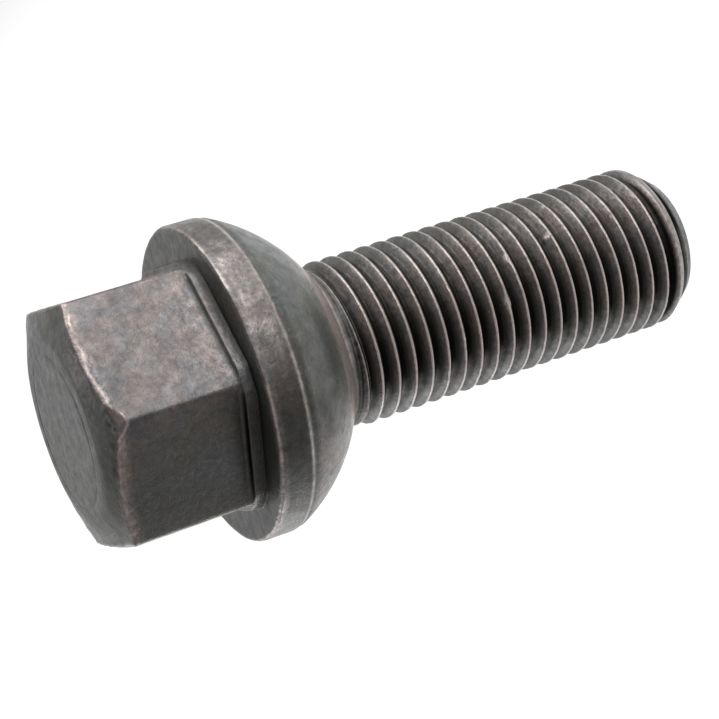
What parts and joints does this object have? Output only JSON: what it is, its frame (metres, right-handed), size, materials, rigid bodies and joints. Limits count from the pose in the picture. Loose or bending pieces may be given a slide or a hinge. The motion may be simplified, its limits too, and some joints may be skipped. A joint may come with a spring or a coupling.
{
  "type": "wheel bolt",
  "caption": "Ball-seat wheel bolt: hexagon head, round collar, spherical seat, short neck and fine-pitch metric thread, forged in one piece.",
  "frame": {"origin": "centre of the threaded end's flat face, on which the bolt stands", "axes": "+Z along the bolt from the threaded end to the head, -Y through a corner of the hexagon"},
  "size_m": [0.0256, 0.0256, 0.0541],
  "materials": {
    "phosphated_steel": "dark phosphate coating, satin, rubbed bright along the edges and crests"
  },
  "bodies": {
    "root": {"wheel_bolt": "phosphated_steel"}
  },
  "joints": []
}
